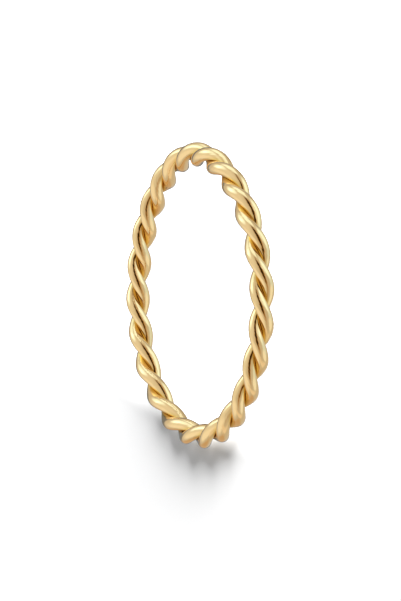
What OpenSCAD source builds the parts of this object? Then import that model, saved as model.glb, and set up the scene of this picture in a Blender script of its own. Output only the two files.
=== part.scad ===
// Rope twist ring, lying on its side: two round wires laid round each other into one closed band.
// Millimetres and degrees. The band's axis is +Z, and the origin is under its centre on the surface it rests on.

/* [Band] */
// Inside diameter, between the innermost points of the wires
finger_d = 17.25; // [14:0.25:22]
// Half turns of the lay round the band; an odd number brings each wire to the other one's start
half_turns = 23; // [15:2:29]
// How far the hand-made lay runs ahead and falls behind, once round the band
slack_once = 30; // [0:1:40]
// The same, twice round the band
slack_twice = 23; // [0:1:30]
// Height of the two low waves that keep the band from lying quite flat
wave_twice = 0.05; // [0:0.01:0.2]
// Height of the three low waves
wave_thrice = 0.07; // [0:0.01:0.2]

/* [Wire] */
// Diameter of the round wire
wire_d = 0.9; // [0.6:0.05:1.3]
// Depth to which each wire is pressed flat where it lies against the other
bed = 0.09; // [0:0.01:0.15]

/* [Clearances] */
// Gap between the flats of the two wires
lay_gap = 0.04; // [0.03:0.01:0.08]
// Gap between a wire's end and the other one's start
end_gap = 0.02; // [0.01:0.01:0.2]

/* [Hidden] */

// Place of the joint between the wires' ends, in degrees round the band
joint_at = 90;
// Where the lay and the waves start, in degrees
lay_start = 63;
slack_once_start = -27;
slack_twice_start = -149;
wave_start = 170;

// Sides of the wire's section, and sections in each half turn of the lay
sides = 12;
sections_a_half_turn = 12;
sections = half_turns * sections_a_half_turn;

wire_r = wire_d / 2;
// A polygon of this radius has the round wire's area
section_r = wire_r * sqrt(2 * PI / sides / sin(360 / sides));
// From the band's centre line to a wire's centre, and from there to the wire's own flat
offset = wire_r - bed + lay_gap / 2;
flat = wire_r - bed;
ring_r = finger_d / 2 + offset + wire_r;
// The lay's turn for each millimetre of the band, in radians
lay_rate = half_turns / 2 / ring_r;
// The flat follows the turning face between the wires, which falls away with the square of the width
flat_curl = lay_rate * lay_rate * offset / (1 + pow(lay_rate * offset, 2));
// What each end of a wire gives up for half of the end gap, in degrees round the band
wire_len = 2 * PI * ring_r * sqrt(1 + pow(lay_rate * offset, 2));
end_trim = 180 * end_gap / wire_len;

gold = [0.93, 0.76, 0.42];

function unit(v) = v / norm(v);

// Turn of the lay at angle u round the band: even, but for the slack
function lay(u) =
    half_turns / 2 * u + lay_start
    + slack_once * sin(u + slack_once_start)
    + slack_twice * sin(2 * u + slack_twice_start);

// How fast the lay turns there, against the angle round the band
function lay_slope(u) =
    half_turns / 2
    + slack_once * PI / 180 * cos(u + slack_once_start)
    + slack_twice * PI / 180 * 2 * cos(2 * u + slack_twice_start);

// Height of the band's centre line at angle u
function wave(u) =
    wave_twice * sin(2 * u + wave_start) + wave_thrice * sin(3 * u + wave_start);

// How fast it climbs there, in millimetres a radian
function wave_slope(u) =
    wave_twice * 2 * cos(2 * u + wave_start) + wave_thrice * 3 * cos(3 * u + wave_start);

// Directions at angle u: out from the axis, and on round the band
function radial(u) = [cos(u), sin(u), 0];
function onward(u) = [-sin(u), cos(u), 0];

// Direction from the band's centre line to the wire that is turned by phase
function outward(u, phase) =
    let (t = lay(u) + phase)
    cos(t) * radial(u) + sin(t) * [0, 0, 1];

// Centre of that wire
function centre(u, phase) =
    ring_r * radial(u) + wave(u) * [0, 0, 1] + offset * outward(u, phase);

// Direction that the wire runs in: round the band, up or down with the waves, and about the centre line
// as the lay turns
function along(u, phase) =
    let (t = lay(u) + phase)
    unit(
        (ring_r + offset * cos(t)) * onward(u)
        + wave_slope(u) * [0, 0, 1]
        + offset * lay_slope(u) * (cos(t) * [0, 0, 1] - sin(t) * radial(u))
    );

// The wire's section at angle u, square to the wire: a round with a flat on the side of the other wire
function section(u, phase) =
    let (
        across = unit(cross(along(u, phase), outward(u, phase))),
        out = cross(across, along(u, phase))
    )
    [for (i = [0 : sides - 1])
        let (
            w = section_r * sin(360 * i / sides),
            h = max(section_r * cos(360 * i / sides), flat_curl * w * w - flat)
        )
        centre(u, phase) + h * out + w * across];

// All points of a strand, section after section from its start to its end
function strand_points(phase) =
    [for (k = [0 : sections])
        each section(joint_at + end_trim + (360 - 2 * end_trim) * k / sections, phase)];

// The two strands' points, and the lowest of them, which is what the band rests on
points_a = strand_points(0);
points_b = strand_points(180);
lowest = min([for (p = concat(points_a, points_b)) p.z]);

// Skin of a swept strand: one face over each end, and two triangles for each side of each section.
// The sections turn with the lay, so a triangle reaches to the next point round, which keeps the skin round.
skin = concat(
    [for (k = [0 : sections - 1], i = [0 : sides - 1])
        let (a = k * sides + i, b = k * sides + (i + 1) % sides)
        each [[a, a + sides, b + sides], [a, b + sides, b]]],
    [[for (i = [0 : sides - 1]) i]],
    [[for (i = [sides - 1 : -1 : 0]) sections * sides + i]]
);

module strand(points) {
    translate([0, 0, -lowest])
        polyhedron(points, skin, convexity = 12);
}

module strand_a() {
    color(gold) strand(points_a);
}

module strand_b() {
    color(gold) strand(points_b);
}

strand_a();
strand_b();
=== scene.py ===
# %% [markdown]
# # A rope twist ring in polished gold
#
# The ring is one long round wire that goes round the finger twice, with its second round laid about the
# first. Seen from the camera that makes a rope of two strands. It lies on its side on a pale table.
#
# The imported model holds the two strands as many-sided solids at their real size and place. This script
# lays one smooth wire in their place, and adds the gold, the table, the studio and the camera.

import bpy
import numpy as np
from mathutils import Matrix, Vector


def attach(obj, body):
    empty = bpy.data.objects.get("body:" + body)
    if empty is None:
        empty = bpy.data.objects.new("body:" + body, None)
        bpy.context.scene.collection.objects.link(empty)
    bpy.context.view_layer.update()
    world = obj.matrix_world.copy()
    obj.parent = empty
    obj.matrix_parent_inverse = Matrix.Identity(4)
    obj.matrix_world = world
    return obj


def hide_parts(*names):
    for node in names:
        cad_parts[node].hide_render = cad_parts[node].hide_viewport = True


MM = 0.001

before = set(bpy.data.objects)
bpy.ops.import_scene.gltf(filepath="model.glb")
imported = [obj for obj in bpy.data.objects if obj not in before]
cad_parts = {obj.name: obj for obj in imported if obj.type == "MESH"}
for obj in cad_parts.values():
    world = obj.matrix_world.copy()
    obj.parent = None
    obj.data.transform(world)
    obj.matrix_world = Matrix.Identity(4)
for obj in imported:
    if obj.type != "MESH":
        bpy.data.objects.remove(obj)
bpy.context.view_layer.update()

# %% [markdown]
# ## Sizes
#
# These are the ring's own driving sizes, in millimetres and degrees, and they are those of the solids.
# A jeweller would give the finger size, the wire and the number of turns. The slack and the waves are what
# a hand makes of it: the lay runs a little ahead and behind, and the band isn't quite flat. Their values
# were fitted to the photographed outline and rounded.

# %% Sizes of the wire and the band
FINGER_D = 17.25
WIRE_R = 0.9 / 2
# From the band's centre line to the wire's centre, and the radius of that line
OFFSET = 0.38
BAND_R = FINGER_D / 2 + OFFSET + WIRE_R
# Half turns of the lay in one round, and where the lay starts
HALF_TURNS = 23
LAY_START = 63
# Height and start of each slow swing, by its number of waves a round. The lay swings ahead and behind by
# degrees, and the band up and down by millimetres.
SLACK = {1: (30, -27), 2: (23, -149)}
WAVES = {2: (0.05, 170), 3: (0.07, 170)}
# Where the wire's ends are soldered, in degrees round the band
JOINT_AT = 90
# Gap between the flats. Only this one is finer than in the solids, which have to stay apart.
FLAT_GAP = 0.004
lay_rate = HALF_TURNS / 2 / BAND_R
wire_length = 2 * np.pi * BAND_R * np.hypot(1, lay_rate * OFFSET)
print(f"band radius {BAND_R:.3f} mm, one round of wire {wire_length:.1f} mm")

# %% [markdown]
# ## The camera
#
# The photograph looks down on the ring's plane at a shallow angle and is turned by a little more than a
# right angle, so that the ring stands tall in the frame. A long lens from about 28 cm gives the small
# difference in thickness between the near and the far side. The camera could be aimed by hand or with a
# constraint. It is set from a distance and two angles instead, which were found by fitting the outline of
# such a ring to the photographed one.

# %% Camera
# The picture's size, the ring's centre in it and the radius of the band's centre line there, in pixels
PICTURE = (401, 601)
RING_CENTRE_PX = (198.0, 295.3)
BAND_R_PX = 140.9
PX_A_MM = BAND_R_PX / BAND_R
# How far off the camera stands, how high above the ring's plane and how far it is rolled
DISTANCE = 276.7
ELEVATION = 25.7
ROLL = 91.5


def unit(v):
    """The same directions with length one: each vector divided by its own length."""
    return v / np.linalg.norm(v, axis=-1, keepdims=True)


def direction(azimuth, elevation):
    """Unit vector from the object towards that place in the studio. Azimuth 0 is the camera's side, -Y,
    and 90 is +X."""
    a, e = np.radians(azimuth), np.radians(elevation)
    return np.array([np.sin(a) * np.cos(e), -np.cos(a) * np.cos(e), np.sin(e)])


def make_camera(centre):
    """A camera on the line from centre at the photograph's angle, turned about that line by ROLL and moved
    sideways until the centre falls on its pixel."""
    back = direction(0, ELEVATION)
    level = np.array([1.0, 0, 0])
    upright = np.cross(back, level)
    turn = np.radians(ROLL)
    right = np.cos(turn) * level - np.sin(turn) * upright
    up = np.sin(turn) * level + np.cos(turn) * upright
    aside = (PICTURE[0] / 2 - RING_CENTRE_PX[0]) / PX_A_MM
    lift = (RING_CENTRE_PX[1] - PICTURE[1] / 2) / PX_A_MM
    place = centre + DISTANCE * back + aside * right + lift * up
    data = bpy.data.cameras.new("camera")
    data.lens = PX_A_MM * DISTANCE * data.sensor_width / max(PICTURE)
    data.clip_start, data.clip_end = 0.01, 10
    cam = bpy.data.objects.new("camera", data)
    turned = Matrix(np.stack([right, up, back], 1)).to_4x4()
    cam.matrix_world = Matrix.Translation(Vector(place * MM)) @ turned
    bpy.context.scene.collection.objects.link(cam)
    bpy.context.scene.camera = cam
    print(f"lens {data.lens:.0f} mm")
    return cam


# %% [markdown]
# ## The wire
#
# On the real ring one wire goes twice round the finger, and its ends are soldered and polished away. The
# solids split it where it has gone round once, because each strand of a braid is a part of its own. Here the
# whole wire is one closed piece, so that no joint shows.
#
# It could be a curve with a round bevel, but a curve can't be pressed flat on one side. So it is a grid of
# points: one parameter runs along the wire and the other round its section. The section carries a flat where
# it beds against the next round, and the flat bends a little with the turning face between the two, so that
# neither round cuts into the other.

# %% The band's line and the wire's line
def ripple(u, terms, slope=False):
    """Sum of sines of the angle u, or its slope. terms gives for each number of waves (height, start)."""
    total = np.zeros_like(u)
    for waves, (height, start) in terms.items():
        angle = waves * u + np.radians(start)
        total += height * (waves * np.cos(angle) if slope else np.sin(angle))
    return total


def wire_line(u):
    """Centre points of the wire at angles u round the band, with the unit directions outward from the
    band's centre line and across.

    The band's line is a circle with low waves. The wire stands off it by OFFSET in the direction that turns
    HALF_TURNS half turns for one round, plus the slack. Its run is the derivative of its place."""
    turn = HALF_TURNS / 2 * u + np.radians(LAY_START + ripple(u, SLACK))
    turn_slope = HALF_TURNS / 2 + np.radians(ripple(u, SLACK, slope=True))
    radial = np.stack([np.cos(u), np.sin(u), 0 * u], 1)
    onward = np.stack([-np.sin(u), np.cos(u), 0 * u], 1)
    up = np.array([0.0, 0, 1])
    cos, sin = np.cos(turn)[:, None], np.sin(turn)[:, None]
    outward = cos * radial + sin * up
    centre = BAND_R * radial + ripple(u, WAVES)[:, None] * up + OFFSET * outward
    run = (
        (BAND_R + OFFSET * cos) * onward
        + ripple(u, WAVES, slope=True)[:, None] * up
        + OFFSET * turn_slope[:, None] * (cos * up - sin * radial)
    )
    along = unit(run)
    across = unit(np.cross(along, outward))
    return centre, np.cross(across, along), across


# %% The wire as a grid of points
# Sections along the wire's two rounds, 40 for each half turn, and points round each section
ALONG = 2 * HALF_TURNS * 40
ROUND = 48


def wire_grid():
    """Points of the wire, ALONG sections of ROUND points over two rounds of the band, with each point's
    angle along the wire and round it. A point of the section stands out by the cosine of its angle and
    across by the sine, times the wire's radius, but no further in than the flat, which rises with the
    square of the way across."""
    u = np.radians(JOINT_AT) + np.linspace(0, 4 * np.pi, ALONG, endpoint=False)
    psi = np.linspace(-np.pi, np.pi, ROUND, endpoint=False)
    curl = lay_rate**2 * OFFSET / (1 + (lay_rate * OFFSET) ** 2)
    wide = WIRE_R * np.sin(psi)
    high = np.maximum(WIRE_R * np.cos(psi), curl * wide**2 - OFFSET + FLAT_GAP / 2)
    centre, outward, across = wire_line(u)
    points = centre[:, None] + high[None, :, None] * outward[:, None] + wide[None, :, None] * across[:, None]
    return points, *np.meshgrid(u, psi, indexing="ij")


def closed_mesh(name, points):
    """A mesh from a grid of points that closes on itself in both of its indices, with faces outward."""
    rows, cols = points.shape[:2]
    i, j = np.meshgrid(np.arange(rows), np.arange(cols), indexing="ij")
    next_i, next_j = (i + 1) % rows, (j + 1) % cols
    quads = np.stack([i * cols + j, i * cols + next_j, next_i * cols + next_j, next_i * cols + j], -1)
    mesh = bpy.data.meshes.new(name)
    mesh.from_pydata(points.reshape(-1, 3) * MM, [], quads.reshape(-1, 4).tolist())
    mesh.polygons.foreach_set("use_smooth", np.ones(len(mesh.polygons), bool))
    mesh.update()
    return mesh


def put_on_points(mesh, name, kind, values):
    """A named value at every point of the mesh, for the material to read."""
    slot = {"FLOAT": "value", "FLOAT_VECTOR": "vector"}[kind]
    data = mesh.attributes.new(name, kind, "POINT").data
    data.foreach_set(slot, np.ascontiguousarray(values, float).ravel())


# %% The wire, seated on its lowest point as the solids are
points, around_band, around_wire = wire_grid()
ring_centre = np.array([0, 0, -points[..., 2].min()])
wire_mesh = closed_mesh("rope_wire", points + ring_centre)
wire = bpy.data.objects.new("rope_wire", wire_mesh)
bpy.context.scene.collection.objects.link(wire)
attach(wire, "root")
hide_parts("strand_a", "strand_b")
make_camera(ring_centre)
print("wire:", 2 * len(wire_mesh.polygons), "triangles")

# %% [markdown]
# The finish needs to know where it is on the wire. The distance along it is wound up on a circle, so that a
# pattern meets itself where the wire closes. Round the section the pattern has a seam, which is hidden in
# the middle of the flat. The second value says how deep a point lies in the hollow between the rounds: 0 on
# the open side and 1 at the flat.

# %% Places on the wire
# Where the hollow begins and where the flat does, as shares of the way round from the open side
HOLLOW_FROM = 0.11
FLAT_FROM = 0.82
# Radius of the circle that both rounds of the wire are wound up on, and a point's angle there
wound_r = 2 * wire_length / (2 * np.pi)
wound_at = around_band / 2
on_wire = np.stack([wound_r * np.cos(wound_at), wound_r * np.sin(wound_at), WIRE_R * around_wire], -1)
depth = np.interp(np.abs(around_wire) / np.pi, (HOLLOW_FROM, FLAT_FROM), (0, 1))
put_on_points(wire_mesh, "on_wire", "FLOAT_VECTOR", on_wire)
put_on_points(wire_mesh, "hollow", "FLOAT", depth)
print(f"wound up on a circle of {wound_r:.1f} mm, depths from {depth.min():.0f} to {depth.max():.0f}")

# %% [markdown]
# ## Shader maths
#
# The gold and the studio below are sums and products of patterns. Written as Python expressions they read
# like the rules they stand for, so one small class wraps a node's socket and adds the Math nodes.

# %% A socket that can be reckoned with
class Sock:
    """A shader socket with operators. node() makes any node: its settings are set before its inputs. Any
    number works as an input where no socket is given."""

    def __init__(self, tree, out):
        self.tree, self.out = tree, out

    def node(self, kind, settings=None, inputs=None, out=0):
        made = self.tree.nodes.new(kind)
        for name, value in (settings or {}).items():
            setattr(made, name, value)
        for name, value in (inputs or {}).items():
            if isinstance(value, Sock):
                self.tree.links.new(value.out, made.inputs[name])
            else:
                made.inputs[name].default_value = value
        return Sock(self.tree, made.outputs[out])

    def math(self, operation, *values):
        return self.node("ShaderNodeMath", {"operation": operation}, dict(enumerate(values)))

    def __add__(self, other):
        return self.math("ADD", self, other)

    def __sub__(self, other):
        return self.math("SUBTRACT", self, other)

    def __rsub__(self, other):
        return self.math("SUBTRACT", other, self)

    def __mul__(self, other):
        return self.math("MULTIPLY", self, other)

    def __pow__(self, other):
        return self.math("POWER", self, other)

    def __rpow__(self, other):
        return self.math("POWER", other, self)

    __radd__ = __add__
    __rmul__ = __mul__

    def step(self, low, high):
        """0 below low, 1 above high, and a smooth slope between. With low above high it falls."""
        return self.node(
            "ShaderNodeMapRange",
            {"interpolation_type": "SMOOTHSTEP", "clamp": True},
            {"Value": self, "From Min": low, "From Max": high, "To Min": 0.0, "To Max": 1.0},
        )

    def dot(self, vector):
        return self.node("ShaderNodeVectorMath", {"operation": "DOT_PRODUCT"}, {0: self, 1: vector}, "Value")

    def scaled(self, vector):
        return self.node("ShaderNodeVectorMath", {"operation": "MULTIPLY"}, {0: self, 1: vector})

    def blend(self, below, above):
        """As a mask: the colour below where this is 0, and the colour above where it is 1."""
        return self.node("ShaderNodeMix", {"data_type": "RGBA"}, {0: self, 6: below, 7: above}, 2)


def noise(place, detail=2, roughness=0.5):
    """Fractal noise from 0 to 1 at that place, with about one bump a unit."""
    return place.node(
        "ShaderNodeTexNoise", {}, {"Vector": place, "Scale": 1.0, "Detail": detail, "Roughness": roughness}
    )


# %% [markdown]
# ## Polished gold
#
# Polished gold has almost no colour of its own in the usual sense: it mirrors the studio and tints it
# yellow. Part of the amber in the hollows is light that has met the gold twice or more, and it comes by
# itself from the bounces. The rest is painted shade: deeper in the hollow the colour is painted a darker
# amber, and where the rounds meet it is painted as a dark crease. Where a polishing mop can't reach, the
# metal also stays duller. This painted shade could be a texture, but the depth in the hollow says it more
# simply: it blends three golds.
#
# Nor is the open side a perfect mirror. Drawing the wire leaves faint lines along it, polishing leaves soft
# ripples, and wear leaves fine scratches and duller patches. All four are noise in millimetres on the wire,
# and they feed the bump and the roughness. The bumps fade out in the hollow, where they would break its
# dark reflections up into specks.

# %% Gold
# Tints of one reflection: on the open side, deep in a hollow and where the rounds meet. The green and the
# blue of the first were fitted to the photograph's colours and rounded. The rest were set one by one.
GOLD = (0.88, 0.61, 0.285, 1)
# The hollow and crease tints below are painted shade: a darker amber deep in the hollow, and a dark brown
# crease where the rounds meet.
HOLLOW_SHADE_GOLD = (0.67, 0.42, 0.05, 1)
CREASE_SHADE_GOLD = (0.42, 0.24, 0.02, 1)
# Bumps a millimetre, along the wire (the first two) and round it
DRAWN_LINES = (0.3, 0.3, 4)
RIPPLES = (0.9, 0.9, 0.54)
SCRATCHES = (9, 9, 1.5)
WORN_PATCHES = (3, 3, 3)
# Depth of a bump of height 1, in mm, and how much of its tilt shows
BUMP_DEPTH = 0.02
BUMP_STRENGTH = 0.25
# Heights of the drawn lines and the scratches, beside ripples of height 1
DRAWN_HEIGHT = 4
SCRATCH_HEIGHT = 0.1
# Roughness of the best polish, and what each flaw adds to it
BEST_POLISH = 0.02
WORN_ADDS = 0.03
HOLLOW_ADDS = 0.06
SCRATCH_ADDS = 0.05
# Where the noise counts as a scratch: none below the first value, full above the second
SCRATCH_EDGE = (0.60, 0.72)
# Depths in the hollow at which the painted shade of the hollow sets in, with the duller polish and the
# fading bumps, and at which the painted crease shade does
TINT_FROM = 0.5
CREASE_FROM = 0.94
# How far the painted shade of the hollow has come, and how far the bumps have faded, at the bottom of the
# hollow
HOLLOW_SHADE_SHARE = 0.8
BUMP_FADE = 0.8


def polished_gold():
    """Metal with a tinted mirror surface. Roughness and bump come from noise in millimetres on the wire, and
    the hollow value makes it duller towards the flat and paints shade into its colour there: a darker amber,
    and a dark crease at the flat."""
    material = bpy.data.materials.new("polished gold")
    material.use_nodes = True
    tree = material.node_tree
    shader = tree.nodes["Principled BSDF"]
    start = Sock(tree, None)
    on_wire = start.node("ShaderNodeAttribute", {"attribute_name": "on_wire"}, {}, "Vector")
    depth = start.node("ShaderNodeAttribute", {"attribute_name": "hollow"}, {}, "Fac")
    hollow = depth.step(TINT_FROM, 1.0)
    crease = depth.step(CREASE_FROM, 1.0)

    drawn = noise(on_wire.scaled(DRAWN_LINES))
    ripples = noise(on_wire.scaled(RIPPLES), detail=1)
    worn = noise(on_wire.scaled(WORN_PATCHES), detail=3)
    scratches = noise(on_wire.scaled(SCRATCHES), detail=4, roughness=0.65)
    scratches = scratches.step(*SCRATCH_EDGE) * (1 - hollow)

    # Painted shade: the colour turns a darker amber deep in the hollow and a dark brown crease where the
    # rounds meet.
    colour = crease.blend((hollow * HOLLOW_SHADE_SHARE).blend(GOLD, HOLLOW_SHADE_GOLD), CREASE_SHADE_GOLD)
    rough = BEST_POLISH + worn * WORN_ADDS + hollow * HOLLOW_ADDS + scratches * SCRATCH_ADDS
    height = (drawn * DRAWN_HEIGHT + ripples) * (1 - hollow * BUMP_FADE) - scratches * SCRATCH_HEIGHT
    bump = start.node(
        "ShaderNodeBump", {}, {"Strength": BUMP_STRENGTH, "Distance": BUMP_DEPTH * MM, "Height": height}
    )
    tree.links.new(colour.out, shader.inputs["Base Color"])
    tree.links.new(rough.out, shader.inputs["Roughness"])
    tree.links.new(bump.out, shader.inputs["Normal"])
    shader.inputs["Metallic"].default_value = 1.0
    return material


wire_mesh.materials.append(polished_gold())

# %% [markdown]
# ## The studio
#
# A mirror shows the room, so the room is half of the picture. The highlights tell of a white tent with
# bright panels, most of them at the rear right and low in front, and of a dark opening for the camera. The
# middle of each wire mirrors the camera, so the opening draws the brown line there. Each edge of a wire
# mirrors what lies straight behind the ring, so a shade there draws the thin outline.
#
# A tent could be built from area lights, but their hard edges and noise would fight the soft gradients. Here
# the world itself is the tent: soft-edged ellipses are laid one over the other on a grey ground, each in its
# own direction. Their places come from following the photograph's highlights back by the rule of the mirror,
# and their sizes and levels were tuned, render after render. The tent only shows in the gold. It
# doesn't light the table, which has lamps of its own.

# %% The tent
# Level and warmth of the grey ground
TENT = (0.67, 0.0)
# Azimuth, elevation, half width and half height in degrees, softness of the rim, level and warmth
PANELS = {
    "rear shade": (172, -16, 34, 30, 0.2, 0.25, -0.1),
    "table below": (20, -65, 45, 25, 0.3, 1.05, -0.22),
    "ceiling": (140, 70, 50, 35, 0.5, 0.95, -0.05),
    "warm wall": (-135, -10, 30, 18, 0.4, 0.5, 0.3),
    "left wall": (-120, 45, 38, 24, 0.4, 1.1, -0.05),
    "left strip": (-88, 0, 10, 40, 0.4, 0.9, 0.05),
    "key panel": (125, 47, 24, 22, 0.3, 1.5, -0.22),
    "key lamp": (130, 50, 12, 8, 0.4, 2.5, -0.1),
    "side panel": (88, 5, 28, 20, 0.4, 1.6, -0.22),
    "low flag at the right": (115, -42, 20, 10, 0.4, 0.5, 0.0),
    "low fill at the right": (38, -38, 26, 26, 0.4, 1.6, -0.22),
    "low fill at the left": (-52, -42, 20, 24, 0.3, 1.15, -0.1),
    "card under the lens": (25, -10, 15, 18, 0.3, 1.15, -0.15),
    "camera hood": (0, 26, 52, 20, 0.4, 0.27, 0.75),
    "camera opening": (8, 28, 42, 13, 0.3, 0.02, 0.9),
}


def warmed(level, warmth):
    """Red and blue pushed apart by warmth, at that level."""
    return (level * (1 + warmth), level, level * (1 - warmth), 1)


def make_tent():
    """The world's light in each direction: TENT, covered by each panel in turn. A panel is an ellipse about
    its own direction. The reach of a direction is how far it leans aside and upwards from the panel's
    middle, each as a share of the half size, and the panel fades out where the reach is about 1."""
    world = bpy.data.worlds.new("tent")
    world.use_nodes = True
    bpy.context.scene.world = world
    tree = world.node_tree
    start = Sock(tree, None)
    look = start.node("ShaderNodeTexCoord", {}, {}, "Generated")
    light = warmed(*TENT)
    for azimuth, elevation, half_w, half_h, rim, level, warmth in PANELS.values():
        middle = direction(azimuth, elevation)
        aside = direction(azimuth + 90, 0)
        above = np.cross(aside, -middle)
        wide = look.dot(tuple(aside / np.sin(np.radians(half_w))))
        high = look.dot(tuple(above / np.sin(np.radians(half_h))))
        reach = (wide**2 + high**2) ** 0.5
        mask = reach.step(1 + rim, 1 - rim) * look.dot(tuple(middle)).step(0.0, 0.1)
        light = mask.blend(light, warmed(level, warmth))
    tree.links.new(light.out, tree.nodes["Background"].inputs["Color"])
    world.cycles_visibility.diffuse = False
    print("tent nodes:", len(tree.nodes))


make_tent()

# %% [markdown]
# ## The table and its lamps
#
# The table is a plain pale sheet, and a white dome closes the view where the camera looks low. Both are
# hidden from the gold, because white all round would wash out the lines that the tent draws.
#
# The photograph shows a shadow at the lower left of the ring alone. A low, broad sun from the upper right of
# the picture casts it, and would shade the inside of the ring too. So a second lamp, which casts no shadow,
# lays a wide round pool over the table, and in it the sun's shadow is lost in white. The pool's edge
# passes just below the ring.

# %% Table and backdrop
# Half the table's side in mm, its grey, and a faint glow that stands for the light of the room on it
TABLE_HALF = 1000
TABLE_COLOUR = 0.5
TABLE_GLOW = 0.29
# The dome's radius in mm, its lowest and highest elevation, and a glow that shows as pure white
DOME_R = 900
DOME_FROM = -4
DOME_TO = 89.5
DOME_GLOW = 1.02
# Roughness of a matt surface
MATT = 0.9


def stage_piece(name, points, faces, colour, glow):
    """A piece of the studio with a plain surface: its colour, and how much it shines by itself."""
    mesh = bpy.data.meshes.new(name)
    mesh.from_pydata((np.asarray(points, float) * MM).tolist(), [], faces)
    piece = bpy.data.objects.new(name, mesh)
    bpy.context.scene.collection.objects.link(piece)
    material = bpy.data.materials.new(name)
    material.use_nodes = True
    shader = material.node_tree.nodes["Principled BSDF"]
    shader.inputs["Base Color"].default_value = (colour, colour, colour, 1)
    shader.inputs["Roughness"].default_value = MATT
    shader.inputs["Emission Color"].default_value = (1, 1, 1, 1)
    shader.inputs["Emission Strength"].default_value = glow
    mesh.materials.append(material)
    piece.visible_glossy = False
    return piece


corners = np.array([(-1, -1, 0), (1, -1, 0), (1, 1, 0), (-1, 1, 0)]) * TABLE_HALF
stage_piece("table", corners, [(0, 1, 2, 3)], TABLE_COLOUR, TABLE_GLOW)


def dome_grid(rows, cols):
    """Points of half a sphere of DOME_R about the origin, with faces inward. Rows go up by elevation, from
    DOME_FROM just under the table to DOME_TO near the top, and columns round by azimuth."""
    up = np.linspace(DOME_FROM, DOME_TO, rows)
    about = np.linspace(0, 360, cols, endpoint=False)
    elevation, azimuth = np.meshgrid(up, about, indexing="ij")
    points = np.moveaxis(direction(azimuth, elevation), 0, -1) * DOME_R
    i, j = np.meshgrid(np.arange(rows - 1), np.arange(cols), indexing="ij")
    next_j = (j + 1) % cols
    quads = np.stack([i * cols + j, (i + 1) * cols + j, (i + 1) * cols + next_j, i * cols + next_j], -1)
    return points.reshape(-1, 3), quads.reshape(-1, 4).tolist()


backdrop = stage_piece("backdrop", *dome_grid(rows=24, cols=48), 0.0, DOME_GLOW)
backdrop.visible_diffuse = False
backdrop.visible_shadow = False
print("stage:", len(backdrop.data.polygons), "faces in the dome")

# %% Lamps
def lamp(name, kind, place, target, energy, **settings):
    """A lamp at that place, in mm, that faces the target and isn't mirrored by the gold."""
    data = bpy.data.lights.new(name, kind)
    data.energy = energy
    for setting, value in settings.items():
        setattr(data, setting, value)
    made = bpy.data.objects.new(name, data)
    away = Vector(np.subtract(place, target))
    turn = away.to_track_quat("Z", "Y").to_matrix().to_4x4()
    made.matrix_world = Matrix.Translation(Vector(place) * MM) @ turn
    bpy.context.scene.collection.objects.link(made)
    made.visible_glossy = False
    return made


# How far off the lamps stand, in mm
LAMP_DISTANCE = 300
# Where the sun comes from, its width in degrees and its level
SUN_FROM = direction(50, 18)
SUN_WIDTH = 36
SUN_LEVEL = 15.6
# Middle and radius of the pool on the table, in mm, the softness of its rim and its lamp's level
POOL_CENTRE = (88.3, -15.0)
POOL_R = 100
POOL_RIM = 0.035
POOL_LEVEL = 7.5

lamp("low sun", "SUN", LAMP_DISTANCE * SUN_FROM, (0, 0, 0), SUN_LEVEL, angle=np.radians(SUN_WIDTH))
pool = {"spot_size": 2 * np.arctan(POOL_R / LAMP_DISTANCE), "spot_blend": POOL_RIM, "use_shadow": False}
lamp("fill spot", "SPOT", (*POOL_CENTRE, LAMP_DISTANCE), (*POOL_CENTRE, 0), POOL_LEVEL, **pool)
# The plain view transform keeps the table's white white
bpy.context.scene.view_settings.view_transform = "Standard"
